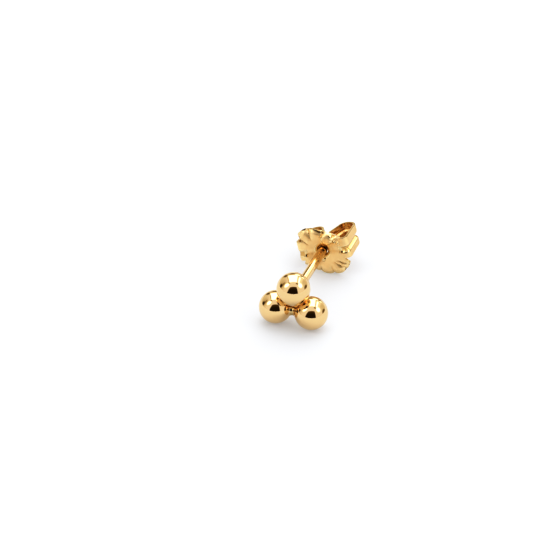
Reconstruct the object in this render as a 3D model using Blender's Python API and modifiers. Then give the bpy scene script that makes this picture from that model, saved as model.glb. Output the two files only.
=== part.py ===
"""A three-ball stud earring with its butterfly back, at its real size.

The stud is three balls soldered in a triangle, with a straight post on the back of the top ball.
The butterfly back is one stamped sheet: a fluted disc with a funnel and a collar round the post,
and two ears curled behind it, whose pressed grooves grip the post. The earring lies as it does
on a table: on its two lower balls and on the rim of the back.
"""

import math

import bmesh
import bpy
import numpy as np
from mathutils import Matrix, Vector

MM = 0.001

# Balls, in millimetres. The lower two stand apart, and the top one rests on both.
BALL_DIAMETER = 3.0
LOWER_BALL_SPACING = 3.3
TOP_BALL_FORWARD = 0.56
TOP_BALL_ASIDE = 0.08
SOLDER_BITE = 0.03
LOWER_NECK_DIAMETER = 1.1
TOP_NECK_DIAMETER = 0.8

# Post. Its axis is the Y axis of the stud, and Y is 0 at the lower balls' centres.
POST_DIAMETER = 0.85
POST_TIP = 11.8
POST_RISE = 1.49
POST_START = 0.0
POST_TIP_CHAMFER = 0.1

# Butterfly back: one sheet. Its X runs from ear to ear, and Y goes away from the balls.
BACK_PLACE = 8.85
BACK_TURN = math.radians(17)
SHEET = 0.22
POST_CLEARANCE = 0.06
DISC_HALF_LENGTH = 2.47
DISC_HALF_HEIGHT = 2.15
DISC_DROP = 0.03
DISC_ASIDE = 0.03
DISC_SKEW = 0.14
DISC_SQUARENESS = 2.4
FLUTE_DEPTH = 0.2
FLUTE_NOTCH = 0.16
FLUTE_START = 1.2
RIM_TURN_BACK = 0.2
RIM_TURN_WIDTH = 0.5
FUNNEL_RADIUS = 1.05
FUNNEL_DEPTH = 0.4
COLLAR_LENGTH = 0.3

# Swells of the disc's oval outline, made by hand: the angle and the half width in degrees,
# and the height as a share of DISC_HALF_HEIGHT.
SWELLS = (
    (116, 20, 0.09),
    (-88, 14, 0.05),
    (-60, 12, 0.055),
    (33, 8, 0.045),
)

# Shares of the free rim over which it leaves an ear's corner for the oval
UPPER_CORNER_RAMP = 0.13
LOWER_CORNER_RAMP = 0.05

# Creases between the puffed flutes, counter-clockwise above and below the ears: the angles at
# the rim and at the inner end, in degrees, and the shares of FLUTE_DEPTH and FLUTE_NOTCH.
UPPER_CREASES = (
    (45, 42, 0.7, 0.6),
    (74, 84, 0.9, 0.8),
    (112, 120, 1.0, 1.0),
)
LOWER_CREASES = (
    (-107, -104, 0.7, 0.6),
    (-75, -70, 0.9, 0.9),
    (-46, -50, 1.0, 1.0),
)
FLUTE_FULLNESS = 3.2

# Pressed bumps of the disc: a flat-faced knob above the collar and a small pip below it.
KNOB_ASIDE = 0.8
KNOB_RISE = 1.2
KNOB_RADIUS = 0.58
KNOB_HEIGHT = 0.32
PIP_ASIDE = 0.05
PIP_DROP = 0.82
PIP_RADIUS = 0.22
PIP_HEIGHT = 0.09

# Ears: a strip from each end of the disc, bent back, rolled inward and brought along the post.
EAR_TOP = 1.14
RIGHT_EAR_FOOT = 0.9
LEFT_EAR_FOOT = 0.7
RIGHT_EAR_TAPER = 0.12
LEFT_EAR_TAPER = 0.26
RIGHT_EAR_SPAN = 2.7
LEFT_EAR_SPAN = 2.4
EAR_BACK_REACH = 4.06
EAR_BEND_RADIUS = 0.48
EAR_ROLL_RADIUS = 0.97
EAR_CURL_RADIUS = 0.6
EAR_CURL_TURN = math.radians(67)
EAR_EASE_RADIUS = 0.5
EAR_TIP_PLACE = 1.4
GROOVE_HALF_WIDTH = 0.38
GROOVE_DEPTH = 0.25
GROOVE_RUN_IN = 0.3
LEFT_POCKET = 0.3

# Facets
BALL_SEGMENTS = 32
BALL_RINGS = 16
POST_SEGMENTS = 32
FLUTE_STEPS = 6
EAR_SIDE_STEPS = 5
DISC_RINGS = 7
ARC_STEP = math.radians(18)
REST_STEPS = 50

GOLD = (0.83, 0.55, 0.22, 1.0)
SATIN_GOLD = (0.80, 0.56, 0.27, 1.0)

BALL_RADIUS = BALL_DIAMETER / 2
POST_RADIUS = POST_DIAMETER / 2
COLLAR_RADIUS = POST_RADIUS + POST_CLEARANCE + SHEET / 2


def smooth_step(low, high, value):
    """0 below low, 1 above high, and a smooth ramp between them."""
    share = min(max((value - low) / (high - low), 0.0), 1.0)
    return share * share * (3 - 2 * share)


# Scene and helpers


def clear_scene():
    for thing in list(bpy.data.objects):
        bpy.data.objects.remove(thing, do_unlink=True)


def make_collection(name):
    collection = bpy.data.collections.new(name)
    bpy.context.scene.collection.children.link(collection)
    return collection


def make_material(name, colour, roughness):
    material = bpy.data.materials.new(name)
    material.use_nodes = True
    shader = material.node_tree.nodes["Principled BSDF"]
    shader.inputs["Base Color"].default_value = colour
    shader.inputs["Metallic"].default_value = 1.0
    shader.inputs["Roughness"].default_value = roughness
    return material


def object_from_bmesh(name, work, collection):
    """An object whose mesh is drawn in millimetres, as all the shapes here are."""
    mesh = bpy.data.meshes.new(name)
    work.to_mesh(mesh)
    work.free()
    thing = bpy.data.objects.new(name, mesh)
    collection.objects.link(thing)
    return thing


def solder(name, pieces, collection):
    """One solid from several, joined while still in millimetres and then set to metres."""
    whole = pieces[0]
    for piece in pieces[1:]:
        union = whole.modifiers.new("solder_" + piece.name, "BOOLEAN")
        union.operation = "UNION"
        union.solver = "EXACT"
        union.object = piece
    view = whole.evaluated_get(bpy.context.evaluated_depsgraph_get())
    mesh = bpy.data.meshes.new_from_object(view)
    mesh.name = name
    mesh.transform(Matrix.Scale(MM, 4))
    for piece in pieces:
        bpy.data.objects.remove(piece, do_unlink=True)
    thing = bpy.data.objects.new(name, mesh)
    collection.objects.link(thing)
    return thing


# Stud


def lower_ball_centre(side):
    return Vector((side * LOWER_BALL_SPACING / 2, 0, -POST_RISE))


def top_ball_centre():
    """The top ball touches both lower balls, and the solder takes the last of the gap."""
    reach = BALL_DIAMETER - SOLDER_BITE
    height = math.sqrt(reach**2 - (LOWER_BALL_SPACING / 2) ** 2 - TOP_BALL_FORWARD**2)
    return Vector((TOP_BALL_ASIDE, -TOP_BALL_FORWARD, height - POST_RISE))


def make_ball(name, centre, collection):
    work = bmesh.new()
    bmesh.ops.create_uvsphere(
        work, u_segments=BALL_SEGMENTS, v_segments=BALL_RINGS, radius=BALL_RADIUS,
        matrix=Matrix.Translation(centre),
    )
    return object_from_bmesh(name, work, collection)


def make_neck(name, start, end, diameter, collection):
    """A short rod of solder from one ball's centre to the next."""
    span = end - start
    turn = span.to_track_quat("Z", "Y").to_matrix().to_4x4()
    work = bmesh.new()
    bmesh.ops.create_cone(
        work, cap_ends=True, segments=POST_SEGMENTS, radius1=diameter / 2, radius2=diameter / 2,
        depth=span.length, matrix=Matrix.Translation((start + end) / 2) @ turn,
    )
    return object_from_bmesh(name, work, collection)


def make_post(collection):
    length = POST_TIP - POST_START
    middle = Vector((0, (POST_TIP + POST_START) / 2, 0))
    work = bmesh.new()
    bmesh.ops.create_cone(
        work, cap_ends=True, segments=POST_SEGMENTS, radius1=POST_RADIUS, radius2=POST_RADIUS,
        depth=length, matrix=Matrix.Translation(middle) @ Matrix.Rotation(math.radians(-90), 4, "X"),
    )
    tip_edges = [edge for edge in work.edges if all(v.co.y > POST_TIP - 0.001 for v in edge.verts)]
    bmesh.ops.bevel(
        work, geom=tip_edges, offset=POST_TIP_CHAMFER, segments=1, profile=0.5, affect="EDGES",
    )
    return object_from_bmesh("post", work, collection)


def make_ball_stud(parts, helpers, material):
    left = lower_ball_centre(-1)
    right = lower_ball_centre(1)
    top = top_ball_centre()
    pieces = [
        make_ball("top_ball", top, helpers),
        make_ball("left_ball", left, helpers),
        make_ball("right_ball", right, helpers),
        make_neck("lower_neck", left, right, LOWER_NECK_DIAMETER, helpers),
        make_neck("left_neck", left, top, TOP_NECK_DIAMETER, helpers),
        make_neck("right_neck", right, top, TOP_NECK_DIAMETER, helpers),
        make_post(helpers),
    ]
    stud = solder("ball_stud", pieces, parts)
    stud.data.materials.append(material)
    return stud


# Butterfly back: the disc. Points are (x, y, z), with y the depth behind the disc's plane.


def ear_foot(side):
    return RIGHT_EAR_FOOT if side > 0 else LEFT_EAR_FOOT


def ear_columns(side):
    """Places across an ear from its foot to its top, closer together in its groove."""
    foot = ear_foot(side)
    low = [-foot, -(foot + GROOVE_HALF_WIDTH) / 2, -GROOVE_HALF_WIDTH, -GROOVE_HALF_WIDTH / 2]
    high = [GROOVE_HALF_WIDTH / 2, GROOVE_HALF_WIDTH, (EAR_TOP + GROOVE_HALF_WIDTH) / 2, EAR_TOP]
    return low + [0.0] + high


def root_x(side):
    """How far from the post the sheet starts to bend back into the right ear or the left one."""
    span = RIGHT_EAR_SPAN if side > 0 else LEFT_EAR_SPAN
    return span - SHEET / 2 - EAR_BEND_RADIUS


def free_rim(upper):
    """Angles at which the free rim starts and ends, above the ears or below them."""
    if upper:
        return math.atan2(EAR_TOP, root_x(1)), math.atan2(EAR_TOP, -root_x(-1))
    return math.atan2(-LEFT_EAR_FOOT, -root_x(-1)), math.atan2(-RIGHT_EAR_FOOT, root_x(1))


def crease_lines(upper, share):
    """Angle, depth and notch of each crease at a share of the way to the rim, ears' corners included."""
    start, end = free_rim(upper)
    lines = [(start, 0.0, 0.0)]
    for rim_angle, inner_angle, depth, notch in UPPER_CREASES if upper else LOWER_CREASES:
        angle = math.radians(inner_angle + (rim_angle - inner_angle) * share)
        lines.append((angle, depth * FLUTE_DEPTH, notch * FLUTE_NOTCH))
    return lines + [(end, 0.0, 0.0)]


def disc_columns():
    """Angles round the disc, counter-clockwise from the right ear's foot."""
    columns = [math.atan2(place, root_x(1)) for place in ear_columns(1)]
    for upper in (True, False):
        lines = crease_lines(upper, 1.0)
        for (low, _, _), (high, _, _) in zip(lines, lines[1:]):
            columns += [low + (high - low) * step / FLUTE_STEPS for step in range(FLUTE_STEPS)]
            if low == lines[0][0]:
                columns.remove(low)
        if upper:
            columns += [math.atan2(place, -root_x(-1)) for place in reversed(ear_columns(-1))]
    return columns


def side_share(angle):
    """How far along the upper or lower free rim an angle lies, or None at an ear."""
    turn = math.remainder(angle, 2 * math.pi)
    low, high = free_rim(turn > 0)
    share = (turn - low) / (high - low)
    return share if 1e-9 < share < 1 - 1e-9 else None


def near_ear(angle, width):
    """0 at an ear's corner, and 1 from a share of the free rim onwards."""
    share = side_share(angle)
    return 0.0 if share is None else smooth_step(0, width, min(share, 1 - share))


def valley(angle, share):
    """Depth and notch of the crease near an angle, falling off to 0 on the flutes' round tops."""
    turn = math.remainder(angle, 2 * math.pi)
    lines = crease_lines(turn > 0, share)
    for (low, depth, notch), (high, next_depth, next_notch) in zip(lines, lines[1:]):
        if low <= turn <= high:
            place = 2 * (turn - low) / (high - low) - 1
            if place > 0:
                depth = next_depth
                notch = next_notch
            return depth * abs(place) ** FLUTE_FULLNESS, notch * abs(place) ** (2 * FLUTE_FULLNESS)
    return 0.0, 0.0


def rim_radius(angle):
    """The disc's outline: straight at the ears, and a squarish oval with lobes elsewhere."""
    side = 1 if math.cos(angle) > 0 else -1
    if side_share(angle) is None:
        return root_x(side) / abs(math.cos(angle))
    power = DISC_SQUARENESS
    along = (abs(math.cos(angle)) / DISC_HALF_LENGTH) ** power
    across = (abs(math.sin(angle)) / DISC_HALF_HEIGHT) ** power
    oval = (along + across) ** (-1 / power)
    oval *= 1 - DISC_SKEW * math.sin(2 * angle)
    oval += DISC_ASIDE * math.cos(angle) - DISC_DROP * math.sin(angle)
    for place, width, height in SWELLS:
        off = math.remainder(angle - math.radians(place), 2 * math.pi)
        oval += height * DISC_HALF_HEIGHT * math.exp(-((off / math.radians(width)) ** 2))
    upper = math.sin(angle) > 0
    corner = math.hypot(root_x(side), EAR_TOP if upper else ear_foot(side))
    ramp = near_ear(angle, UPPER_CORNER_RAMP if upper else LOWER_CORNER_RAMP)
    _, notch = valley(angle, 1.0)
    return corner + (oval - corner) * ramp - notch


def bump(distance, face, radius, height):
    """Height of a pressed bump with a flat face, at a distance from its middle."""
    return height * (1 - smooth_step(face, radius, distance))


def groove(across):
    """Depth of an ear's groove at a place across the ear: two straight walls and a round bottom."""
    bottom = 0.25
    wall = math.hypot(across / GROOVE_HALF_WIDTH, bottom)
    return GROOVE_DEPTH * max(0.0, 1 - wall) / (1 - bottom)


def pocket(side, x):
    """Share of the groove's depth where it starts on the disc."""
    root = root_x(side)
    if side > 0:
        return smooth_step(root - GROOVE_RUN_IN, root, abs(x))
    return LEFT_POCKET * smooth_step(root - 2 * GROOVE_RUN_IN, root, abs(x))


def disc_depth(angle, radius):
    """Depth of the sheet behind the disc's plane, outside the funnel."""
    x = radius * math.cos(angle)
    z = radius * math.sin(angle)
    rim = rim_radius(angle)
    out = min(max((radius - FLUTE_START) / (rim - FLUTE_START), 0.0), 1.0)
    crease, _ = valley(angle, out)
    depth = FUNNEL_DEPTH * (1 - smooth_step(COLLAR_RADIUS, FUNNEL_RADIUS, radius))
    depth += crease * near_ear(angle, 0.04) * smooth_step(0, 0.75, out)
    depth += near_ear(angle, 0.12) * RIM_TURN_BACK * smooth_step(rim - RIM_TURN_WIDTH, rim, radius)
    depth += groove(z) * pocket(1 if x > 0 else -1, x)
    knob_off = math.hypot(x - KNOB_ASIDE, z - KNOB_RISE)
    pip_off = math.hypot(x + PIP_ASIDE, z + PIP_DROP)
    depth -= bump(knob_off, 0.5 * KNOB_RADIUS, KNOB_RADIUS, KNOB_HEIGHT)
    depth -= bump(pip_off, 0, PIP_RADIUS, PIP_HEIGHT)
    return depth


def disc_rings(angle):
    """Radius and depth down one ray: the collar, the funnel and the fluted disc to its rim."""
    hub = [COLLAR_RADIUS, (2 * COLLAR_RADIUS + FUNNEL_RADIUS) / 3, (COLLAR_RADIUS + 2 * FUNNEL_RADIUS) / 3]
    rim = rim_radius(angle)
    radii = hub + [FUNNEL_RADIUS + (rim - FUNNEL_RADIUS) * ring / DISC_RINGS for ring in range(DISC_RINGS + 1)]
    rings = [(COLLAR_RADIUS, FUNNEL_DEPTH + COLLAR_LENGTH)]
    return rings + [(radius, disc_depth(angle, radius)) for radius in radii]


def add_disc(work):
    """A grid wrapped round the post: one column for each angle and one row for each ring."""
    columns = disc_columns()
    table = []
    for angle in columns:
        ray = disc_rings(angle)
        table.append([work.verts.new((r * math.cos(angle), y, r * math.sin(angle))) for r, y in ray])
    for here, column in enumerate(table):
        after = table[(here + 1) % len(table)]
        for row in range(len(column) - 1):
            work.faces.new((column[row], column[row + 1], after[row + 1], after[row]))


# Butterfly back: the ears


def arc_points(start, heading, radius, turn):
    """Points along an arc to the left that begins at start, and the heading at its end."""
    steps = max(2, math.ceil(turn / ARC_STEP))
    centre = start + radius * Vector((-math.sin(heading), math.cos(heading)))
    points = []
    for step in range(1, steps + 1):
        angle = heading + turn * step / steps
        points.append((centre + radius * Vector((math.sin(angle), -math.cos(angle))), angle))
    return points


def grip_x():
    """Where an ear's outer face passes the post: as near as its groove's edge lets it come."""
    reach = POST_RADIUS + POST_CLEARANCE
    return math.sqrt(reach**2 - min(GROOVE_HALF_WIDTH, 0.8 * reach) ** 2)


def ear_path(side):
    """An ear's middle line: (point, heading) in outward distance and depth, root to tip."""
    start = Vector((root_x(side), 0))
    path = [(start, 0.0)]
    path += arc_points(start, 0.0, EAR_BEND_RADIUS, math.pi / 2)
    side_end = Vector((start.x + EAR_BEND_RADIUS, EAR_BACK_REACH - SHEET / 2 - EAR_ROLL_RADIUS))
    side_start = path[-1][0]
    for step in range(1, EAR_SIDE_STEPS + 1):
        path.append((side_start.lerp(side_end, step / EAR_SIDE_STEPS), math.pi / 2))
    path += arc_points(side_end, math.pi / 2, EAR_ROLL_RADIUS, math.pi / 2)
    path += arc_points(path[-1][0], math.pi, EAR_CURL_RADIUS, EAR_CURL_TURN)
    roll_end, heading = path[-1]
    ease_turn = 1.5 * math.pi - heading
    ease_width = EAR_EASE_RADIUS * (1 - math.cos(ease_turn))
    run = (roll_end.x - grip_x() - SHEET / 2 - ease_width) / -math.cos(heading)
    ease_start = roll_end + run * Vector((math.cos(heading), math.sin(heading)))
    path += [(roll_end.lerp(ease_start, share), heading) for share in (0.5, 1)]
    path += arc_points(ease_start, heading, EAR_EASE_RADIUS, ease_turn)
    path.append((Vector((path[-1][0].x, EAR_TIP_PLACE)), 1.5 * math.pi))
    return path


def ear_top(side, point, heading):
    """Height of an ear's top edge, which comes down a little towards the roll."""
    back = EAR_BACK_REACH if heading > math.pi / 2 else point.y
    taper = RIGHT_EAR_TAPER if side > 0 else LEFT_EAR_TAPER
    return EAR_TOP - taper * smooth_step(0, EAR_BACK_REACH, back)


def ear_groove(side, point, heading):
    """Share of the groove's depth along an ear."""
    if side > 0 or heading > math.pi / 2:
        return 1.0
    return LEFT_POCKET + (1 - LEFT_POCKET) * smooth_step(EAR_BEND_RADIUS, 3 * EAR_BEND_RADIUS, point.y)


def add_ear(work, side):
    """A strip along the ear's path, with its groove pressed into the outer face."""
    rows = []
    for point, heading in ear_path(side):
        inward = Vector((-math.sin(heading), math.cos(heading)))
        top = ear_top(side, point, heading)
        pressed = ear_groove(side, point, heading)
        row = []
        for across in ear_columns(side):
            place = point + inward * groove(across) * pressed
            z = across
            if across > GROOVE_HALF_WIDTH:
                share = (across - GROOVE_HALF_WIDTH) / (EAR_TOP - GROOVE_HALF_WIDTH)
                z = GROOVE_HALF_WIDTH + share * (top - GROOVE_HALF_WIDTH)
            row.append(work.verts.new((side * place.x, place.y, z)))
        rows.append(row)
    for row, after in zip(rows, rows[1:]):
        for here in range(len(row) - 1):
            work.faces.new((row[here], after[here], after[here + 1], row[here + 1]))


def make_butterfly_back(parts, material):
    work = bmesh.new()
    add_disc(work)
    for side in (-1, 1):
        add_ear(work, side)
    bmesh.ops.remove_doubles(work, verts=work.verts, dist=0.001)
    bmesh.ops.recalc_face_normals(work, faces=work.faces)
    back = object_from_bmesh("butterfly_back", work, parts)
    back.data.transform(Matrix.Scale(MM, 4))
    sheet = back.modifiers.new("sheet", "SOLIDIFY")
    sheet.thickness = SHEET * MM
    sheet.offset = 0
    sheet.use_even_offset = True
    back.data.materials.append(material)
    return back


# Rest


def lowest(points, pitch):
    """Lowest height of the points with the post's tip pitched down."""
    return (points[:, 2] * math.cos(pitch) - points[:, 1] * math.sin(pitch)).min()


def evaluated_points(thing):
    view = thing.evaluated_get(bpy.context.evaluated_depsgraph_get())
    matrix = np.array(view.matrix_world)
    points = np.array([vertex.co for vertex in view.data.vertices])
    return points @ matrix[:3, :3].T + matrix[:3, 3]


def rest_pitch(stud_points, back_points):
    """The pitch at which the lower balls and the back's rim touch one level floor."""
    low = math.radians(-30)
    high = math.radians(30)
    for _ in range(REST_STEPS):
        pitch = (low + high) / 2
        if lowest(back_points, pitch) > lowest(stud_points, pitch):
            low = pitch
        else:
            high = pitch
    return pitch


def lay_down(frame, stud, back):
    """Pitch the whole earring to its rest, centred over the floor's origin."""
    bpy.context.view_layer.update()
    stud_points = evaluated_points(stud)
    back_points = evaluated_points(back)
    frame.rotation_euler = (-rest_pitch(stud_points, back_points), 0, 0)
    bpy.context.view_layer.update()
    points = np.vstack([evaluated_points(stud), evaluated_points(back)])
    low = points.min(axis=0)
    high = points.max(axis=0)
    frame.location = (-(low[0] + high[0]) / 2, -(low[1] + high[1]) / 2, -low[2])
    bpy.context.view_layer.update()


def main():
    clear_scene()
    parts = make_collection("stud_earring")
    helpers = make_collection("helpers")
    polished = make_material("polished_gold", GOLD, 0.08)
    satin = make_material("satin_gold", SATIN_GOLD, 0.35)
    frame = bpy.data.objects.new("earring_frame", None)
    helpers.objects.link(frame)

    stud = make_ball_stud(parts, helpers, polished)
    stud.parent = frame

    back = make_butterfly_back(parts, satin)
    back.parent = frame
    back.location = (0, BACK_PLACE * MM, 0)
    back.rotation_euler = (0, -BACK_TURN, 0)

    for thing in (stud, back):
        thing.data.shade_smooth()
        thing.data.set_sharp_from_angle(angle=math.radians(40))
    lay_down(frame, stud, back)


main()
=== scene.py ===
"""The looks of the three-ball stud earring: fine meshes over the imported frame, gold and light."""

import math

import bmesh
import bpy
from mathutils import Matrix, Vector


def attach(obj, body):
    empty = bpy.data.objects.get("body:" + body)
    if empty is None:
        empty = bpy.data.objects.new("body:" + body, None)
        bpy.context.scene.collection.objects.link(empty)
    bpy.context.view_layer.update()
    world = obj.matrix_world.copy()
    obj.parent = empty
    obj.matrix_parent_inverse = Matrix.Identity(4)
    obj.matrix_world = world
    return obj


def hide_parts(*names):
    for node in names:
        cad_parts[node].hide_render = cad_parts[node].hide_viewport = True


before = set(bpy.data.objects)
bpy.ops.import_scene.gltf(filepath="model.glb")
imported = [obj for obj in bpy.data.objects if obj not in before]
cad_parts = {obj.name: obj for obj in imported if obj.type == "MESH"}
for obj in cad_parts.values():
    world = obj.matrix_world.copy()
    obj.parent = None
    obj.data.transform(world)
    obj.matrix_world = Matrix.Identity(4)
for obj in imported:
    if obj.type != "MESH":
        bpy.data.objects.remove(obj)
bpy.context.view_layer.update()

MM = 0.001

# Stud, in millimetres. Its Y axis is the post's.
BALL_RADIUS = 1.5
LOWER_BALL_SPACING = 3.3
TOP_BALL_FORWARD = 0.56
TOP_BALL_ASIDE = 0.08
SOLDER_BITE = 0.03
POST_RADIUS = 0.425
POST_START = 0.0
POST_TIP = 11.8
POST_RISE = 1.49
POST_TIP_ROUND = 0.1
LOWER_NECK_RADIUS = 0.5
TOP_NECK_RADIUS = 0.32
POST_SOLDER_REACH = 0.16
POST_SOLDER_SINK = 0.01

# The solder between the balls is duller than they are. It fades in off their surfaces, and ends
# at this distance along the post.
SOLDER_FADE = (0.01, 0.12)
SOLDER_END = 0.7

# The balls' poles lie where they don't show.
LOWER_BALL_POLE = Vector((0, 0, -1))
TOP_BALL_POLE = Vector((0, 1, -0.4)).normalized()

# How the earring lies: the post's tip pitched down, and the stud's origin over the floor.
PITCH = math.radians(-4.92185)
REST_Y = -5.50706
REST_Z = 2.97898

# Butterfly back
BACK_PLACE = 8.85
BACK_TURN = math.radians(17)
SHEET = 0.22
POST_CLEARANCE = 0.06
COLLAR_RADIUS = POST_RADIUS + POST_CLEARANCE + SHEET / 2
DISC_HALF_LENGTH = 2.47
DISC_HALF_HEIGHT = 2.15
DISC_DROP = 0.03
DISC_ASIDE = 0.03
DISC_SKEW = 0.14
DISC_SQUARENESS = 2.4
RIM_TURN_BACK = 0.2
RIM_TURN_WIDTH = 0.5
RIM_TURN_RAMP = 0.12
DISH_RADIUS = 1.7
DISH_DEPTH = 0.26
THROAT_RADIUS = 0.86
THROAT_DEPTH = 0.2
COLLAR_LENGTH = 0.3
BOSS_PLACE = (0.8, 1.23)
BOSS_RADIUS = 0.62
BOSS_HEIGHT = 0.32
BOSS_FLAT = 0.7
BOSS_DENT_RADIUS = 0.5
BOSS_DENT = 0.12

# Swells of the disc's oval outline: the angle and half width in degrees, and the height.
SWELLS = (
    (116, 20, 0.194),
    (-88, 14, 0.108),
    (-60, 12, 0.118),
    (33, 8, 0.097),
)

# Shares of the free rim over which it leaves an ear's corner for the oval
UPPER_CORNER_RAMP = 0.13
LOWER_CORNER_RAMP = 0.05

# Creases between the disc's puffed lobes, counter-clockwise above and below the ears: the angle
# at the rim and at the inner end, in degrees, the depth at the rim and the notch in the rim.
UPPER_CREASES = (
    (45, 42, 0.17, 0.10),
    (74, 84, 0.22, 0.13),
    (112, 120, 0.28, 0.16),
    (139, 146, 0.15, 0.03),
)
LOWER_CREASES = (
    (-134, -130, 0.10, 0.03),
    (-107, -104, 0.16, 0.10),
    (-75, -70, 0.21, 0.14),
    (-46, -50, 0.24, 0.16),
    (-35, -39, 0.10, 0.05),
)
CREASE_START = 1.25
CREASE_RUN_IN = 0.75
CREASE_RAMP = 0.04
NOTCH_SHARPNESS = 7
LOBE_FULLNESS = 2.8

# Small pressed bumps: place, radius and height.
BUMPS = (
    (-0.05, -0.82, 0.22, 0.09),
    (1.45, 0.86, 0.18, 0.15),
    (1.78, 0.7, 0.16, 0.14),
    (2.2, -1.42, 0.16, 0.08),
    (1.55, 1.6, 0.2, 0.14),
    (0.27, 1.48, 0.15, 0.08),
)

# Ears: a strip from each end of the disc, bent back, rolled inward and brought along the post.
EAR_TOP = 1.14
RIGHT_EAR_FOOT = 0.9
LEFT_EAR_FOOT = 0.7
RIGHT_EAR_TAPER = 0.12
LEFT_EAR_TAPER = 0.26
RIGHT_EAR_SPAN = 2.7
LEFT_EAR_SPAN = 2.4
EAR_BACK_REACH = 4.06
EAR_BEND_RADIUS = 0.48
EAR_ROLL_RADIUS = 0.97
EAR_CURL_RADIUS = 0.6
EAR_CURL_TURN = math.radians(67)
EAR_EASE_RADIUS = 0.5
EAR_TIP_PLACE = 1.4
GROOVE_HALF_WIDTH = 0.38
GROOVE_FLOOR = (-0.1, 0.2)
GROOVE_TOP = 0.32
GROOVE_DEPTH = 0.25
GROOVE_RUN_IN = 0.3
LEFT_POCKET = 0.3
GRIP_SHARE = 0.8
EDGE_ROUND = 0.06

# A shallow hollow of the disc between the hole and each groove. It starts off the post's axis
# and ends before the ear's root.
HOLLOW_DEPTH = 0.05
HOLLOW_HEIGHT = 0.05
HOLLOW_HALF_WIDTH = 0.4
HOLLOW_START = (0.7, 1.1)
HOLLOW_END = (0.5, 0.1)

# Polish of the satin sheet: weights, and the spans over which they fade. Most are distances in
# millimetres. An inner end of a span for the edge, the grooves or an ear is taken off the rim
# or the root.
FACE_DEPTH = 0.35
HOLE_POLISH_FADE = (0.7, 0.85)
EDGE_POLISH = 0.75
EDGE_POLISH_FADE = (0.3, 0.1)
EDGE_POLISH_RAMP = 0.06
EDGE_OFF_BOSS = (0.1, 0.4)
CREASE_POLISH = 0.7
CREASE_POLISH_SHARPNESS = 10
CREASE_POLISH_START = (0.2, 0.5)
CREASE_POLISH_DEPTH = (0.0, 0.12)
BOSS_POLISH = 0.9
BOSS_RING = (0.4, 0.45, 0.6, 0.66)
BOSS_RING_TOP = (1.45, 1.7)
BUMP_POLISH = 0.7
BUMP_POLISH_FADE = (0.9, 1.3)
GROOVE_POLISH_FADE = (0.34, 0.42)
GROOVE_POLISH_START = 0.4

# Painted shade, a darker gold: inside the ears' loops and on the grooves' floors, where shade falls
LOOP_START = 0.8
LOOP_MIDDLE = (1.35, 2.3)
LOOP_FACING = (0.0, 0.4)
LOOP_POLISH = 0.3
LOOP_SHADE = (0.32, 0.13)
GROOVE_SHADE_START = 0.1
GROOVE_SHADE_DEPTH = 0.3
GROOVE_SHADE_SPAN = (-0.25, -0.19, 0.2, 0.26)
GROOVE_SHADE = 0.85

# Mesh steps
BALL_SEGMENTS = 128
BALL_RINGS = 64
POST_SEGMENTS = 72
POST_FIRST_RING = 0.8
POST_TIP_STEPS = 6
POST_SOLDER_STEPS = 8
SOLDER_SEGMENTS = 72
SOLDER_STEPS = 14
RIM_STEPS = 96
COLLAR_RINGS = 3
HUB_RINGS = 12
DISC_RINGS = 30
EAR_COLUMNS = 44
EAR_SIDE_STEPS = 16
EAR_RUN_STEPS = 6
EAR_END_STEPS = 4
ARC_STEP = math.radians(6)
EDGE_STEPS = 3
WELD_DISTANCE = 0.001
SHARP_ANGLE = math.radians(50)

# Gold
POLISHED_COLOURS = ((0.82, 0.605, 0.33, 1), (0.845, 0.63, 0.35, 1))
POLISHED_ROUGHNESS = (0.035, 0.075)
SOLDER_COLOUR = (0.60, 0.45, 0.22, 1)
SATIN_COLOURS = ((0.94, 0.70, 0.37, 1), (0.98, 0.735, 0.39, 1))
SATIN_ROUGHNESS = (0.36, 0.46)
PRESSED_COLOUR = (0.79, 0.615, 0.33, 1)
PRESSED_ROUGHNESS = 0.06
# Painted shade: the darker gold inside the ears' loops and on the grooves' floors
PAINTED_SHADE_COLOUR = (0.62, 0.38, 0.13, 1)

# Noise, per metre, and relief, in metres
HAZE_SCALE = 900
CLOUD_SCALE = 700
HAZE_DETAIL = 4.0
CLOUD_SPAN = (0.3, 0.75)
FINE_DETAIL = 2.0
RIPPLE_SCALE = 3500
RIPPLE_STRENGTH = 0.02
GRAIN_SCALE = 9000
GRAIN_ROUGHNESS = 0.6
GRAIN_STRENGTH = 0.15
RELIEF_DISTANCE = 0.00002

# Floor, in metres
FLOOR_HALF_WIDTH = 3.0
FLOOR_COLOURS = ((0.56, 0.575, 0.60, 1), (0.57, 0.585, 0.61, 1))
FLOOR_CLOUD_SCALE = 60
FLOOR_ROUGHNESS = 0.9
FLOOR_SHINE = 0.1
FLOOR_GLOW_COLOUR = (1.0, 1.0, 1.02, 1)
FLOOR_GLOW = 0.275

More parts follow.
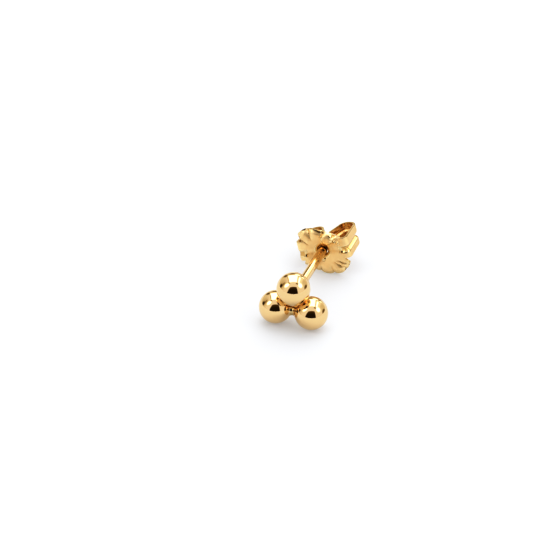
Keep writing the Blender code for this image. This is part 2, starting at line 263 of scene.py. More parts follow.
# Studio. Places are in degrees from the zenith: across, to the camera's right, and away from
# the camera. A place is followed by the half sizes, the softness of the edge and the colour.
TENT_FADE = (20, 75)
TENT_COLOURS = ((0.86, 0.85, 0.88, 1), (0.70, 0.67, 0.56, 1))
TENT_SHADES = (
    (-72, 18, 28, 34, 0.6, (0.63, 0.59, 0.49, 1)),
    (70, 35, 35, 35, 0.6, (0.71, 0.675, 0.57, 1)),
    (-66, 8, 16, 8, 0.5, (0.32, 0.25, 0.13, 1)),
    (-79, 20, 11, 14, 0.5, (0.045, 0.03, 0.01, 1)),
    (82, 12, 8, 24, 0.5, (0.19, 0.145, 0.07, 1)),
    (-32, 66, 8, 14, 0.5, (0.15, 0.11, 0.05, 1)),
    (36, 66, 8, 7, 0.5, (0.06, 0.035, 0.01, 1)),
    (-27, 22, 2.6, 25, 0.5, (0.50, 0.45, 0.30, 1)),
    (25.5, 20, 2.4, 29, 0.5, (0.62, 0.58, 0.50, 1)),
    (-3, 59, 16, 5, 0.5, (0.58, 0.50, 0.30, 1)),
    (50, 56, 16, 6, 0.5, (0.86, 0.83, 0.74, 1)),
    (-2, 72, 12, 6, 0.5, (0.20, 0.145, 0.08, 1)),
    (-29, -11, 7, 6, 0.5, (0.24, 0.17, 0.06, 1)),
    (24, -16, 8, 6, 0.5, (0.24, 0.17, 0.06, 1)),
)
BOX_LAMPS = (
    (38, 15, 12, 30, 6, (1.0, 0.97, 0.92, 1)),
    (33, 17, 3.5, 24, 3, (2.9, 2.85, 2.8, 1)),
)
ROUND_LAMPS = (
    (43, 58, 6, 5, 0.5, (2.2, 2.15, 2.1, 1)),
    (20, 61, 12, 5, 0.4, (2.4, 2.38, 2.3, 1)),
    (-45, -18, 15, 10, 0.45, (3.0, 2.95, 2.9, 1)),
    (46, -19, 13, 14, 0.45, (3.0, 2.95, 2.9, 1)),
)
SOFTBOX = (-2, 23.5, 22, 30, 3)
SOFTBOX_COLOUR = (2.2, 2.2, 2.35, 1)

# The gap in the tent for the camera: edges from point to point with their softness
GAP_LEFT_EDGE = (-24, -41, -62, -68, 3)
GAP_RIGHT_EDGE = (45, -83, 23, -42, 3)
GAP_FAR_EDGE = (-44, -38)
LENS_FADE = (-64, -42)
LENS_COLOURS = ((0.03, 0.018, 0.004, 1), (0.10, 0.062, 0.016, 1))

# What the floor, metal that lights the floor, and the camera see
FLOOR_LAMP = (0, 34, 26, 28, 4)
FLOOR_LAMP_COLOUR = (2.2, 2.2, 2.2, 1)
SCATTERED_COLOUR = (0.30, 0.29, 0.27, 1)
BACKGROUND_COLOUR = (1.0, 1.0, 1.0, 1)
STUDIO_STRENGTH = 1.18
LIGHT_MAP_SIZE = 1024

# Keeps the root of 1 - cosine squared above 0 at the zenith
JUST_OVER_ONE = 1.0001

# Numbers of Blender's own sockets and curves
MIX_FIRST_COLOUR = 6
MIX_SECOND_COLOUR = 7
MIX_COLOUR_RESULT = 2
COMBINED_CURVE = 3

# Camera, in metres, in a 533 x 533 picture, with lens and sensor in millimetres
CAMERA_PLACE = Vector((0.028928019, -0.101224013, 0.070596181))
CAMERA_AIM = Vector((-0.005184324, 0.002529294, -0.0000055))
CAMERA_LENS = 92.72
CAMERA_SENSOR = 36
CAMERA_REACH = (0.001, 20)

# Picture tone: scene light and the light shown for it
TONE = ((0.10, 0.042), (0.25, 0.16), (0.40, 0.315), (0.54, 0.485), (0.68, 0.67), (0.85, 0.88))


def smooth_step(low, high, value):
    share = min(max((value - low) / (high - low), 0.0), 1.0)
    return share * share * (3 - 2 * share)


def band(limits, value):
    """1 in a band, with soft ends: limits are the start and end of its rise and of its fall."""
    return smooth_step(*limits[:2], value) - smooth_step(*limits[2:], value)


def to_world():
    """From the stud's own millimetres to the frame's metres."""
    lie = Matrix.Translation((0, REST_Y * MM, REST_Z * MM)) @ Matrix.Rotation(PITCH, 4, "X")
    return lie @ Matrix.Scale(MM, 4)


def link(name, mesh):
    thing = bpy.data.objects.new(name, mesh)
    bpy.context.scene.collection.objects.link(thing)
    return thing


# Stud


def lower_ball_centre(side):
    return Vector((side * LOWER_BALL_SPACING / 2, 0, -POST_RISE))


def top_ball_centre():
    reach = 2 * BALL_RADIUS - SOLDER_BITE
    height = math.sqrt(reach**2 - (LOWER_BALL_SPACING / 2) ** 2 - TOP_BALL_FORWARD**2)
    return Vector((TOP_BALL_ASIDE, -TOP_BALL_FORWARD, height - POST_RISE))


def add_ball(work, centre, pole):
    turn = pole.to_track_quat("Z", "Y").to_matrix().to_4x4()
    bmesh.ops.create_uvsphere(
        work, u_segments=BALL_SEGMENTS, v_segments=BALL_RINGS, radius=BALL_RADIUS,
        matrix=Matrix.Translation(centre) @ turn,
    )


def add_turned(work, start, direction, profile, segments):
    """A surface turned about an axis, from (distance along it, radius) pairs."""
    turn = direction.to_track_quat("Z", "Y").to_matrix()
    rings = []
    for along, radius in profile:
        ring = []
        for step in range(segments):
            angle = 2 * math.pi * step / segments
            spot = turn @ Vector((radius * math.cos(angle), radius * math.sin(angle), along))
            ring.append(work.verts.new(start + spot))
        rings.append(ring)
    for ring, after in zip(rings, rings[1:]):
        for step in range(segments):
            follow = (step + 1) % segments
            work.faces.new((ring[step], ring[follow], after[follow], after[step]))
    return rings


def solder_profile(span, neck):
    """A fillet of solder between two balls: one arc that meets both and is neck wide midway."""
    half = span / 2
    round_off = (half**2 + neck**2 - BALL_RADIUS**2) / (2 * (BALL_RADIUS - neck))
    middle = neck + round_off
    reach = math.atan2(half, middle)
    points = []
    for step in range(-SOLDER_STEPS, SOLDER_STEPS + 1):
        angle = reach * step / SOLDER_STEPS
        points.append((half + round_off * math.sin(angle), middle - round_off * math.cos(angle)))
    return points


def make_stud(material):
    work = bmesh.new()
    left = lower_ball_centre(-1)
    right = lower_ball_centre(1)
    top = top_ball_centre()
    for centre in (left, right):
        add_ball(work, centre, LOWER_BALL_POLE)
    add_ball(work, top, TOP_BALL_POLE)
    for start, end, neck in (
        (left, right, LOWER_NECK_RADIUS),
        (left, top, TOP_NECK_RADIUS),
        (right, top, TOP_NECK_RADIUS),
    ):
        span = end - start
        profile = solder_profile(span.length, neck)
        add_turned(work, start, span.normalized(), profile, SOLDER_SEGMENTS)

    tip = POST_TIP - POST_TIP_ROUND
    profile = [(along, POST_RADIUS) for along in (POST_START, POST_FIRST_RING, tip / 2, tip)]
    for step in range(1, POST_TIP_STEPS + 1):
        angle = math.pi / 2 * step / POST_TIP_STEPS
        radius = POST_RADIUS - POST_TIP_ROUND * (1 - math.cos(angle))
        profile.append((tip + POST_TIP_ROUND * math.sin(angle), radius))
    rings = add_turned(work, Vector((0, 0, 0)), Vector((0, 1, 0)), profile, POST_SEGMENTS)
    work.faces.new(rings[-1])
    add_post_solder(work, top)

    bmesh.ops.recalc_face_normals(work, faces=work.faces)
    mesh = bpy.data.meshes.new("stud_polished")
    work.to_mesh(mesh)
    work.free()
    mark_solder(mesh, (left, right, top))
    mesh.transform(to_world())
    mesh.materials.append(material)
    mesh.shade_smooth()
    mesh.set_sharp_from_angle(angle=SHARP_ANGLE)
    return link("stud_polished", mesh)


def mark_solder(mesh, centres):
    """Weights for the material: 1 on the solder between the balls, and 0 elsewhere."""
    mark = mesh.attributes.new("solder", "FLOAT", "POINT")
    for vertex in mesh.vertices:
        off_ball = min(abs((vertex.co - centre).length - BALL_RADIUS) for centre in centres)
        between_balls = 1.0 if vertex.co.y < SOLDER_END else 0.0
        mark.data[vertex.index].value = between_balls * smooth_step(*SOLDER_FADE, off_ball)


def add_post_solder(work, top):
    """A narrow fillet of solder where the post leaves the top ball."""
    rings = []
    for step in range(POST_SOLDER_STEPS + 1):
        share = step / POST_SOLDER_STEPS
        radius = POST_RADIUS + POST_SOLDER_REACH * (1 - math.sin(math.pi / 2 * share))
        lift = POST_SOLDER_REACH * (1 - math.cos(math.pi / 2 * share))
        ring = []
        for turn in range(POST_SEGMENTS):
            angle = 2 * math.pi * turn / POST_SEGMENTS
            x = radius * math.cos(angle)
            z = radius * math.sin(angle)
            inner = BALL_RADIUS**2 - (x - top.x) ** 2 - (z - top.z) ** 2
            y = top.y + math.sqrt(max(inner, 0.0)) + lift - POST_SOLDER_SINK
            ring.append(work.verts.new((x, y, z)))
        rings.append(ring)
    for ring, after in zip(rings, rings[1:]):
        for turn in range(POST_SEGMENTS):
            follow = (turn + 1) % POST_SEGMENTS
            work.faces.new((ring[turn], ring[follow], after[follow], after[turn]))


# Butterfly back: the disc


def ear_foot(side):
    return RIGHT_EAR_FOOT if side > 0 else LEFT_EAR_FOOT


def ear_columns(side):
    """Places across an ear, from its foot to its top."""
    foot = ear_foot(side)
    return [-foot + (EAR_TOP + foot) * step / EAR_COLUMNS for step in range(EAR_COLUMNS + 1)]


def root_x(side):
    """How far from the post the sheet starts to bend back into the right ear or the left one."""
    span = RIGHT_EAR_SPAN if side > 0 else LEFT_EAR_SPAN
    return span - SHEET / 2 - EAR_BEND_RADIUS


def free_rim(upper):
    """Angles at which the free rim starts and ends, above or below the ears."""
    if upper:
        return math.atan2(EAR_TOP, root_x(1)), math.atan2(EAR_TOP, -root_x(-1))
    return math.atan2(-LEFT_EAR_FOOT, -root_x(-1)), math.atan2(-RIGHT_EAR_FOOT, root_x(1))


def disc_columns():
    """Angles round the disc, counter-clockwise from the right ear's foot."""
    columns = [math.atan2(place, root_x(1)) for place in ear_columns(1)]
    for upper in (True, False):
        low, high = free_rim(upper)
        columns += [low + (high - low) * step / RIM_STEPS for step in range(1, RIM_STEPS)]
        if upper:
            columns += [math.atan2(place, -root_x(-1)) for place in reversed(ear_columns(-1))]
    return columns


def side_share(angle):
    """How far along the free rim an angle lies, or None at an ear."""
    turn = math.remainder(angle, 2 * math.pi)
    low, high = free_rim(turn > 0)
    share = (turn - low) / (high - low)
    return share if 1e-9 < share < 1 - 1e-9 else None


def near_ear(angle, width):
    """0 at an ear's corner, and 1 from a share of the free rim onwards."""
    share = side_share(angle)
    return 0.0 if share is None else smooth_step(0, width, min(share, 1 - share))


def rim_radius(angle):
    """Where the sheet's face ends: at an ear's root, or at the notched edge of the oval."""
    side = 1 if math.cos(angle) > 0 else -1
    if side_share(angle) is None:
        return root_x(side) / abs(math.cos(angle))
    power = DISC_SQUARENESS
    along = (abs(math.cos(angle)) / DISC_HALF_LENGTH) ** power
    across = (abs(math.sin(angle)) / DISC_HALF_HEIGHT) ** power
    oval = (along + across) ** (-1 / power)
    oval *= 1 - DISC_SKEW * math.sin(2 * angle)
    oval += DISC_ASIDE * math.cos(angle) - DISC_DROP * math.sin(angle)
    for place, width, height in SWELLS:
        off = math.remainder(angle - math.radians(place), 2 * math.pi)
        oval += height * math.exp(-((off / math.radians(width)) ** 2))
    upper = math.sin(angle) > 0
    corner = math.hypot(root_x(side), EAR_TOP if upper else ear_foot(side))
    ramp = near_ear(angle, UPPER_CORNER_RAMP if upper else LOWER_CORNER_RAMP)
    between, _, notch = lobe(angle, 1.0)
    return corner + (oval - corner) * ramp - notch * between**NOTCH_SHARPNESS


def lobe(angle, share):
    """Place in a lobe, 0 on its middle and 1 in a crease, with that crease's depth and notch."""
    turn = math.remainder(angle, 2 * math.pi)
    start, end = free_rim(turn > 0)
    lines = [(start, 0.0, 0.0)]
    for rim_angle, inner_angle, depth, notch in UPPER_CREASES if turn > 0 else LOWER_CREASES:
        lines.append((math.radians(inner_angle + (rim_angle - inner_angle) * share), depth, notch))
    lines.append((end, 0.0, 0.0))
    for (low, depth, notch), (high, next_depth, next_notch) in zip(lines, lines[1:]):
        if low <= turn <= high:
            place = 2 * (turn - low) / (high - low) - 1
            if place > 0:
                return place, next_depth, next_notch
            return -place, depth, notch
    return 0.0, 0.0, 0.0


def crease_depth(angle, radius, rim):
    """Depth of the valleys between the puffed lobes, sharp at their bottoms."""
    if radius <= CREASE_START:
        return 0.0
    share = min(1.0, (radius - CREASE_START) / (rim - CREASE_START))
    between, depth, _ = lobe(angle, share)
    return depth * between**LOBE_FULLNESS * smooth_step(0, CREASE_RUN_IN, share)


def bump(x, z, place_x, place_z, radius, height):
    distance = math.hypot(x - place_x, z - place_z)
    return height * (1 - smooth_step(0, radius, distance))


def boss(x, z):
    """The boss above the hole: steep round sides and a flat face with a dent in its middle."""
    distance = math.hypot(x - BOSS_PLACE[0], z - BOSS_PLACE[1]) / BOSS_RADIUS
    dent = BOSS_DENT * smooth_step(BOSS_DENT_RADIUS, 0, distance)
    return BOSS_HEIGHT * (1 - smooth_step(BOSS_FLAT, 1.0, distance) - dent)


def groove(across):
    """Depth of a groove at a place across its ear: a slanting wall, a flat floor, a steep wall."""
    lower = (across + GROOVE_HALF_WIDTH) / (GROOVE_FLOOR[0] + GROOVE_HALF_WIDTH)
    upper = (GROOVE_TOP - across) / (GROOVE_TOP - GROOVE_FLOOR[1])
    return GROOVE_DEPTH * min(1.0, max(0.0, min(lower, upper)))


def pocket(side, x):
    """Share of the groove's depth where it starts on the disc."""
    root = root_x(side)
    if side > 0:
        return smooth_step(root - GROOVE_RUN_IN, root, abs(x))
    return LEFT_POCKET * smooth_step(root - 2 * GROOVE_RUN_IN, root, abs(x))


def hollow(side, x, z):
    """Depth of the shallow hollow between the hole and a groove."""
    end, last = (root_x(side) - before for before in HOLLOW_END)
    upright = 1 - smooth_step(0, HOLLOW_HALF_WIDTH, abs(z - HOLLOW_HEIGHT))
    return HOLLOW_DEPTH * upright * band((*HOLLOW_START, end, last), abs(x))


def throat(radius):
    """A flare with an upright start at the collar and a level end on the disc."""
    share = min(max((THROAT_RADIUS - radius) / (THROAT_RADIUS - COLLAR_RADIUS), 0.0), 1.0)
    return THROAT_DEPTH * (1 - math.sqrt(max(0.0, 1 - share**2)))


def disc_depth(angle, radius):
    """How far the sheet's face lies behind the plane of its ears' roots."""
    x = radius * math.cos(angle)
    z = radius * math.sin(angle)
    rim = rim_radius(angle)
    depth = throat(radius) + DISH_DEPTH * (1 - smooth_step(COLLAR_RADIUS, DISH_RADIUS, radius))
    depth += near_ear(angle, CREASE_RAMP) * crease_depth(angle, radius, rim)
    turned = smooth_step(rim - RIM_TURN_WIDTH, rim, radius)
    depth += near_ear(angle, RIM_TURN_RAMP) * RIM_TURN_BACK * turned
    side = 1 if x > 0 else -1
    depth += groove(z) * pocket(side, x)
    depth += hollow(side, x, z)
    depth -= boss(x, z)
    for place_x, place_z, bump_radius, height in BUMPS:
        depth -= bump(x, z, place_x, place_z, bump_radius, height)
    return depth


def disc_rings(angle):
    """One ray of the disc, from the collar's end to the rim, as (radius, depth) pairs."""
    rim = rim_radius(angle)
    bottom = DISH_DEPTH + THROAT_DEPTH + COLLAR_LENGTH
    collar = (bottom - COLLAR_LENGTH * step / COLLAR_RINGS for step in range(COLLAR_RINGS))
    rings = [(COLLAR_RADIUS, depth) for depth in collar]
    for step in range(HUB_RINGS):
        slope = math.pi / 2 * step / HUB_RINGS
        radius = THROAT_RADIUS - (THROAT_RADIUS - COLLAR_RADIUS) * math.cos(slope)
        rings.append((radius, disc_depth(angle, radius)))
    for step in range(DISC_RINGS + 1):
        radius = THROAT_RADIUS + (rim - THROAT_RADIUS) * step / DISC_RINGS
        rings.append((radius, disc_depth(angle, radius)))
    return rings


def add_disc(work):
    table = []
    for angle in disc_columns():
        right, up = math.cos(angle), math.sin(angle)
        ray = disc_rings(angle)
        table.append([work.verts.new((radius * right, y, radius * up)) for radius, y in ray])
    for here, column in enumerate(table):
        after = table[(here + 1) % len(table)]
        for row in range(len(column) - 1):
            work.faces.new((column[row], column[row + 1], after[row + 1], after[row]))


# Butterfly back: the ears


def arc_points(start, heading, radius, turn):
    """Points along an arc to the left that begins at start, and the heading at each."""
    steps = max(2, math.ceil(turn / ARC_STEP))
    centre = start + radius * Vector((-math.sin(heading), math.cos(heading)))
    points = []
    for step in range(1, steps + 1):
        angle = heading + turn * step / steps
        points.append((centre + radius * Vector((math.sin(angle), -math.cos(angle))), angle))
    return points


def line_points(start, end, heading, steps):
    return [(start.lerp(end, step / steps), heading) for step in range(1, steps + 1)]


def grip_x():
    """Where an ear's outer face passes the post: as near as its groove's edge lets it come."""
    reach = POST_RADIUS + POST_CLEARANCE
    return math.sqrt(reach**2 - min(GROOVE_HALF_WIDTH, GRIP_SHARE * reach) ** 2)


def ear_path(side):
    """An ear's middle line: (point, heading) in outward distance and depth, root to tip."""
    start = Vector((root_x(side), 0))
    path = [(start, 0.0)]
    path += arc_points(start, 0.0, EAR_BEND_RADIUS, math.pi / 2)
    side_end = Vector((start.x + EAR_BEND_RADIUS, EAR_BACK_REACH - SHEET / 2 - EAR_ROLL_RADIUS))
    path += line_points(path[-1][0], side_end, math.pi / 2, EAR_SIDE_STEPS)
    path += arc_points(side_end, math.pi / 2, EAR_ROLL_RADIUS, math.pi / 2)
    path += arc_points(path[-1][0], math.pi, EAR_CURL_RADIUS, EAR_CURL_TURN)
    roll_end, heading = path[-1]
    ease_turn = 1.5 * math.pi - heading
    ease_width = EAR_EASE_RADIUS * (1 - math.cos(ease_turn))
    run = (roll_end.x - grip_x() - SHEET / 2 - ease_width) / -math.cos(heading)
    ease_start = roll_end + run * Vector((math.cos(heading), math.sin(heading)))
    path += line_points(roll_end, ease_start, heading, EAR_RUN_STEPS)
    path += arc_points(ease_start, heading, EAR_EASE_RADIUS, ease_turn)
    ease_end = path[-1][0]
    tip = Vector((ease_end.x, EAR_TIP_PLACE))
    path += line_points(ease_end, tip, 1.5 * math.pi, EAR_END_STEPS)
    return path


def ear_top(side, point, heading):
    """Height of an ear's top edge, which comes down a little towards the roll."""
    back = EAR_BACK_REACH if heading > math.pi / 2 else point.y
    taper = RIGHT_EAR_TAPER if side > 0 else LEFT_EAR_TAPER
    return EAR_TOP - taper * smooth_step(0, EAR_BACK_REACH, back)


def ear_groove(side, point, heading):
    """Share of the groove's depth along an ear."""
    if side > 0 or heading > math.pi / 2:
        return 1.0
    deepening = smooth_step(EAR_BEND_RADIUS, 3 * EAR_BEND_RADIUS, point.y)
    return LEFT_POCKET + (1 - LEFT_POCKET) * deepening


def add_ear(work, side):
    rows = []
    for point, heading in ear_path(side):
        inward = Vector((-math.sin(heading), math.cos(heading)))
        top = ear_top(side, point, heading)
        pressed = ear_groove(side, point, heading)
        row = []
        for across in ear_columns(side):
            place = point + inward * groove(across) * pressed
            z = across
            if across > GROOVE_HALF_WIDTH:
                share = (across - GROOVE_HALF_WIDTH) / (EAR_TOP - GROOVE_HALF_WIDTH)
                z = GROOVE_HALF_WIDTH + share * (top - GROOVE_HALF_WIDTH)
            row.append(work.verts.new((side * place.x, place.y, z)))
        rows.append(row)
    for row, after in zip(rows, rows[1:]):
        for here in range(len(row) - 1):
            work.faces.new((row[here], after[here], after[here + 1], row[here + 1]))


def applied(thing):
    """The thing's mesh with its modifiers, as a new mesh."""
    view = thing.evaluated_get(bpy.context.evaluated_depsgraph_get())
    return bpy.data.meshes.new_from_object(view)


def face_polish(angle, radius):
    """Polish along the turned edge of the disc and in the bottoms of its creases."""
    rim = rim_radius(angle)
    low, high = (rim - inward for inward in EDGE_POLISH_FADE)
    edge = EDGE_POLISH * near_ear(angle, EDGE_POLISH_RAMP) * smooth_step(low, high, radius)
    off_boss = angle - math.atan2(BOSS_PLACE[1], BOSS_PLACE[0])
    edge *= smooth_step(*EDGE_OFF_BOSS, abs(off_boss))
    if radius <= CREASE_START:
        return edge
    share = min(1.0, (radius - CREASE_START) / (rim - CREASE_START))
    between, depth, _ = lobe(angle, share)
    line = CREASE_POLISH * between**CREASE_POLISH_SHARPNESS
    line *= smooth_step(*CREASE_POLISH_START, share) * smooth_step(*CREASE_POLISH_DEPTH, depth)
    return max(edge, line)


def bump_polish(x, z):
    """Polish round the boss and on the small bumps."""
    off_boss = math.hypot(x - BOSS_PLACE[0], z - BOSS_PLACE[1])
    polish = BOSS_POLISH * band(BOSS_RING, off_boss) * (1 - smooth_step(*BOSS_RING_TOP, z))
    for place_x, place_z, bump_radius, _ in BUMPS:
        off_bump = math.hypot(x - place_x, z - place_z) / bump_radius
        polish = max(polish, BUMP_POLISH * (1 - smooth_step(*BUMP_POLISH_FADE, off_bump)))
    return polish


def loop_facing(vertex):
    """How far a vertex of an ear faces its loop's middle, from 0 to 1, or None off the ears."""
    x, y, _ = vertex.co
    if y <= FACE_DEPTH or abs(x) <= LOOP_START:
        return None
    inward = Vector((math.copysign(LOOP_MIDDLE[0], x) - x, LOOP_MIDDLE[1] - y, 0)).normalized()
    return smooth_step(*LOOP_FACING, inward.dot(vertex.normal))


def mark_polish(mesh, rim_group):
    """Weights for the material: polish, from satin 0 to mirror 1, and inside, for painted shade in
    darker gold.
    """
    mark = mesh.attributes.new("polish", "FLOAT", "POINT")
    inside = mesh.attributes.new("inside", "FLOAT", "POINT")
    for vertex in mesh.vertices:
        x, y, z = vertex.co
        radius = math.hypot(x, z)
        root = root_x(math.copysign(1, x))
        polish = max(1 - smooth_step(*HOLE_POLISH_FADE, radius), bump_polish(x, z))
        if y < FACE_DEPTH:
            polish = max(polish, face_polish(math.atan2(z, x), radius))
        if abs(x) > root - GROOVE_POLISH_START:
            polish = max(polish, 1 - smooth_step(*GROOVE_POLISH_FADE, abs(z)))
        # Painted shade: darker inside the loops, more where the face turns to the loop's middle,
        # and on the grooves' floors
        shade = 0.0
        facing = loop_facing(vertex)
        if facing is not None:
            polish = max(polish, LOOP_POLISH * facing)
            shade = LOOP_SHADE[0] + LOOP_SHADE[1] * facing
        if abs(x) > root - GROOVE_SHADE_START or y > GROOVE_SHADE_DEPTH:
            shade = max(shade, GROOVE_SHADE * band(GROOVE_SHADE_SPAN, z))
        for group in vertex.groups:
            if group.group == rim_group:
                polish = max(polish, group.weight)
        mark.data[vertex.index].value = polish
        inside.data[vertex.index].value = shade


def make_back(material):
    work = bmesh.new()
    add_disc(work)
    for side in (-1, 1):
        add_ear(work, side)
    bmesh.ops.remove_doubles(work, verts=work.verts, dist=WELD_DISTANCE)
    bmesh.ops.recalc_face_normals(work, faces=work.faces)
    mesh = bpy.data.meshes.new("back_draft")
    work.to_mesh(mesh)
    work.free()
    draft = link("back_draft", mesh)
    rim = draft.vertex_groups.new(name="rim")
    sheet = draft.modifiers.new("sheet", "SOLIDIFY")
    sheet.thickness = SHEET
    sheet.offset = 0
    sheet.use_even_offset = True
    sheet.rim_vertex_group = "rim"
    rounding = draft.modifiers.new("rounding", "BEVEL")
    rounding.width = EDGE_ROUND
    rounding.segments = EDGE_STEPS
    rounding.limit_method = "ANGLE"
    rounding.angle_limit = SHARP_ANGLE
    mesh = applied(draft)
    mesh.name = "back_sheet"
    mark_polish(mesh, rim.index)
    bpy.data.objects.remove(draft, do_unlink=True)
    place = Matrix.Translation((0, BACK_PLACE, 0)) @ Matrix.Rotation(-BACK_TURN, 4, "Y")
    mesh.transform(to_world() @ place)
    mesh.materials.clear()
    mesh.materials.append(material)
    mesh.shade_smooth()
    mesh.set_sharp_from_angle(angle=SHARP_ANGLE)
    return link("back_sheet", mesh)


# Materials


def node(tree, kind, **values):
    """A new node with its settings."""
    made = tree.nodes.new(kind)
    for name, value in values.items():
        setattr(made, name, value)
    return made


def feed(tree, socket, value):
    """Links another node's output to the socket, or sets a plain value on it."""
    if isinstance(value, bpy.types.NodeSocket):
        tree.links.new(value, socket)
    else:
        socket.default_value = value


def compute(tree, operation, *values):
    made = node(tree, "ShaderNodeMath", operation=operation)
    for socket, value in zip(made.inputs, values):
        feed(tree, socket, value)
    return made.outputs[0]


def ramp(tree, value, low, high, to_low=0.0, to_high=1.0):
    """A soft step of the value, from to_low at low to to_high at high."""
    made = node(tree, "ShaderNodeMapRange", interpolation_type="SMOOTHSTEP")
    feed(tree, made.inputs["Value"], value)
    made.inputs["From Min"].default_value = low
    made.inputs["From Max"].default_value = high
    made.inputs["To Min"].default_value = to_low
    made.inputs["To Max"].default_value = to_high
    return made.outputs["Result"]


def blend(tree, factor, first, second):
    """A mix of two colours. The Mix node's colour sockets share their names, so go by number."""
    made = node(tree, "ShaderNodeMix", data_type="RGBA")
    feed(tree, made.inputs["Factor"], factor)
    feed(tree, made.inputs[MIX_FIRST_COLOUR], first)
    feed(tree, made.inputs[MIX_SECOND_COLOUR], second)
    return made.outputs[MIX_COLOUR_RESULT]


def noise(tree, place, scale, detail, rough=0.5):
    made = node(tree, "ShaderNodeTexNoise")
    feed(tree, made.inputs["Vector"], place)
    made.inputs["Scale"].default_value = scale
    made.inputs["Detail"].default_value = detail
    made.inputs["Roughness"].default_value = rough
    return made.outputs["Fac"]


def start_material(name, metallic):
    material = bpy.data.materials.new(name)
    material.use_nodes = True
    tree = material.node_tree
    shader = tree.nodes["Principled BSDF"]
    shader.inputs["Metallic"].default_value = metallic
    place = node(tree, "ShaderNodeTexCoord").outputs["Object"]
    return material, tree, shader, place


def attribute(tree, name):
    return node(tree, "ShaderNodeAttribute", attribute_name=name).outputs["Fac"]


def add_relief(tree, shader, height, strength):
    relief = node(tree, "ShaderNodeBump")
    relief.inputs["Strength"].default_value = strength
    relief.inputs["Distance"].default_value = RELIEF_DISTANCE
    feed(tree, relief.inputs["Height"], height)
    feed(tree, shader.inputs["Normal"], relief.outputs[0])


def polished_gold():
    """Mirror-polished gold, with the faint uneven haze of a buffed surface and duller solder."""
    material, tree, shader, place = start_material("polished_gold", metallic=1.0)
    haze = noise(tree, place, HAZE_SCALE, HAZE_DETAIL)
    colour = blend(tree, haze, *POLISHED_COLOURS)
    colour = blend(tree, attribute(tree, "solder"), colour, SOLDER_COLOUR)
    feed(tree, shader.inputs["Base Color"], colour)
    rough = ramp(tree, haze, *CLOUD_SPAN, *POLISHED_ROUGHNESS)
    feed(tree, shader.inputs["Roughness"], rough)
    ripple = noise(tree, place, RIPPLE_SCALE, FINE_DETAIL)
    add_relief(tree, shader, ripple, RIPPLE_STRENGTH)
    return material


def satin_gold():
    """Soft satin gold from the stamping die, polished where the mark says so, with painted shade in
    loops and grooves.
    """
    material, tree, shader, place = start_material("satin_gold", metallic=1.0)
    polish = attribute(tree, "polish")
    cloud = noise(tree, place, CLOUD_SCALE, HAZE_DETAIL)
    colour = blend(tree, cloud, *SATIN_COLOURS)
    colour = blend(tree, polish, colour, PRESSED_COLOUR)
    # Painted shade: darker gold inside the ears' loops and on the grooves' floors
    colour = blend(tree, attribute(tree, "inside"), colour, PAINTED_SHADE_COLOUR)
    feed(tree, shader.inputs["Base Color"], colour)
    dull = compute(tree, "SUBTRACT", 1.0, polish)
    rough = ramp(tree, cloud, *CLOUD_SPAN, *SATIN_ROUGHNESS)
    rough = compute(tree, "MULTIPLY_ADD", rough, dull, PRESSED_ROUGHNESS)
    feed(tree, shader.inputs["Roughness"], rough)
    grain = noise(tree, place, GRAIN_SCALE, FINE_DETAIL, GRAIN_ROUGHNESS)
    add_relief(tree, shader, compute(tree, "MULTIPLY", grain, dull), GRAIN_STRENGTH)
    return material


def floor_white():
    """Matt white that glows a little, so that it is as white as the picture's background."""
    material, tree, shader, place = start_material("floor_white", metallic=0.0)
    shader.inputs["Roughness"].default_value = FLOOR_ROUGHNESS
    shader.inputs["Specular IOR Level"].default_value = FLOOR_SHINE
    shader.inputs["Emission Color"].default_value = FLOOR_GLOW_COLOUR
    shader.inputs["Emission Strength"].default_value = FLOOR_GLOW
    cloud = noise(tree, place, FLOOR_CLOUD_SCALE, FINE_DETAIL)
    feed(tree, shader.inputs["Base Color"], blend(tree, cloud, *FLOOR_COLOURS))
    return material


# Studio


def make_floor():
    size = FLOOR_HALF_WIDTH
    mesh = bpy.data.meshes.new("floor")
    corners = [(-size, -size, 0), (size, -size, 0), (size, size, 0), (-size, size, 0)]
    mesh.from_pydata(corners, [], [(0, 1, 2, 3)])
    mesh.materials.append(floor_white())
    floor = link("floor", mesh)


def heading_axes():
    """Level unit vectors towards the camera and to its right."""
    towards = CAMERA_PLACE - CAMERA_AIM
    towards.z = 0
    towards.normalize()
    return towards, Vector((-towards.y, towards.x, 0))


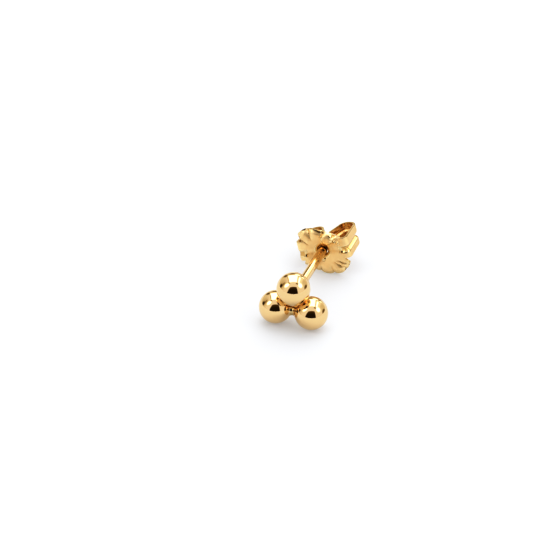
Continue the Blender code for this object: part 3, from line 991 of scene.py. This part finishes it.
def make_studio():
    """A warm white tent with a softbox overhead, lamps, and a gap where the camera looks in.

    Mirroring metal sees it in colour. The floor gets its light in grey, so that it stays white,
    and the camera sees plain white behind the floor.
    """
    world = bpy.data.worlds.new("studio")
    bpy.context.scene.world = world
    world.use_nodes = True
    tree = world.node_tree
    tree.nodes.clear()
    way = node(tree, "ShaderNodeTexCoord").outputs["Generated"]
    towards, aside = heading_axes()

    def along(axis):
        made = node(tree, "ShaderNodeVectorMath", operation="DOT_PRODUCT")
        feed(tree, made.inputs[0], way)
        made.inputs[1].default_value = axis
        return made.outputs["Value"]

    height = along((0, 0, 1))
    tilt = compute(tree, "MULTIPLY", compute(tree, "ARCCOSINE", height), math.degrees(1))
    square = compute(tree, "MULTIPLY", height, height)
    level = compute(tree, "SQRT", compute(tree, "SUBTRACT", JUST_OVER_ONE, square))
    scale = compute(tree, "DIVIDE", tilt, level)
    across = compute(tree, "MULTIPLY", along(tuple(aside)), scale)
    away = compute(tree, "MULTIPLY", along(tuple(-towards)), scale)

    def lamp(x, y, half_x, half_y, soft):
        """1 inside a soft-edged rectangle, and 0 outside."""
        in_x = compute(tree, "ABSOLUTE", compute(tree, "SUBTRACT", across, x))
        in_y = compute(tree, "ABSOLUTE", compute(tree, "SUBTRACT", away, y))
        x_part = ramp(tree, in_x, half_x - soft, half_x + soft, 1.0, 0.0)
        y_part = ramp(tree, in_y, half_y - soft, half_y + soft, 1.0, 0.0)
        return compute(tree, "MULTIPLY", x_part, y_part)

    def spot(x, y, radius_x, radius_y, soft):
        """1 inside a soft-edged oval, and 0 outside."""
        in_x = compute(tree, "DIVIDE", compute(tree, "SUBTRACT", across, x), radius_x)
        in_y = compute(tree, "DIVIDE", compute(tree, "SUBTRACT", away, y), radius_y)
        square_x = compute(tree, "MULTIPLY", in_x, in_x)
        square_y = compute(tree, "MULTIPLY", in_y, in_y)
        far = compute(tree, "SQRT", compute(tree, "ADD", square_x, square_y))
        return ramp(tree, far, 1 - soft, 1 + soft, 1.0, 0.0)

    def side_of(x, y, to_x, to_y, soft):
        """1 to the left of the line from (x, y) to (to_x, to_y)."""
        run = math.hypot(to_x - x, to_y - y)
        first = compute(tree, "MULTIPLY", compute(tree, "SUBTRACT", away, y), (to_x - x) / run)
        second = compute(tree, "MULTIPLY", compute(tree, "SUBTRACT", across, x), (to_y - y) / run)
        return ramp(tree, compute(tree, "SUBTRACT", first, second), -soft, soft)

    colour = blend(tree, ramp(tree, away, *TENT_FADE), *TENT_COLOURS)
    for *place, shade in TENT_SHADES:
        colour = blend(tree, spot(*place), colour, shade)
    gap = compute(tree, "MULTIPLY", side_of(*GAP_LEFT_EDGE), side_of(*GAP_RIGHT_EDGE))
    gap = compute(tree, "MULTIPLY", gap, ramp(tree, away, *GAP_FAR_EDGE, 1.0, 0.0))
    lens = blend(tree, ramp(tree, away, *LENS_FADE), *LENS_COLOURS)
    colour = blend(tree, gap, colour, lens)
    for *place, shade in BOX_LAMPS:
        colour = blend(tree, lamp(*place), colour, shade)
    for *place, shade in ROUND_LAMPS:
        colour = blend(tree, spot(*place), colour, shade)
    grey = node(tree, "ShaderNodeRGBToBW")
    feed(tree, grey.inputs[0], colour)
    plain = blend(tree, lamp(*FLOOR_LAMP), grey.outputs[0], FLOOR_LAMP_COLOUR)
    colour = blend(tree, lamp(*SOFTBOX), colour, SOFTBOX_COLOUR)

    ray = node(tree, "ShaderNodeLightPath").outputs
    scattered = compute(tree, "MINIMUM", ray["Diffuse Depth"], 1.0)
    colour = blend(tree, scattered, colour, SCATTERED_COLOUR)
    colour = blend(tree, ray["Is Glossy Ray"], plain, colour)
    colour = blend(tree, ray["Is Camera Ray"], colour, BACKGROUND_COLOUR)
    glow = node(tree, "ShaderNodeBackground")
    feed(tree, glow.inputs["Color"], colour)
    glow.inputs["Strength"].default_value = STUDIO_STRENGTH
    out = node(tree, "ShaderNodeOutputWorld")
    tree.links.new(glow.outputs[0], out.inputs["Surface"])
    world.cycles.sampling_method = "MANUAL"
    world.cycles.sample_map_resolution = LIGHT_MAP_SIZE


def make_camera():
    data = bpy.data.cameras.new("camera")
    data.sensor_width = CAMERA_SENSOR
    data.lens = CAMERA_LENS
    data.clip_start, data.clip_end = CAMERA_REACH
    camera = bpy.data.objects.new("camera", data)
    bpy.context.scene.collection.objects.link(camera)
    camera.location = CAMERA_PLACE
    camera.rotation_euler = (CAMERA_AIM - CAMERA_PLACE).to_track_quat("-Z", "Y").to_euler()
    bpy.context.scene.camera = camera


def set_contrast():
    """The picture's tone: deeper shades and clear lights, as studio product pictures have."""
    settings = bpy.context.scene.view_settings
    settings.view_transform = "Standard"
    settings.use_curve_mapping = True
    mapping = settings.curve_mapping
    curve = mapping.curves[COMBINED_CURVE]
    for light, shown in TONE:
        curve.points.new(light, shown)
    mapping.update()


make_camera()
make_floor()
make_studio()
set_contrast()

stud = make_stud(polished_gold())
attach(stud, "stud")
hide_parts("ball_stud")

back = make_back(satin_gold())
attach(back, "back")
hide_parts("butterfly_back")
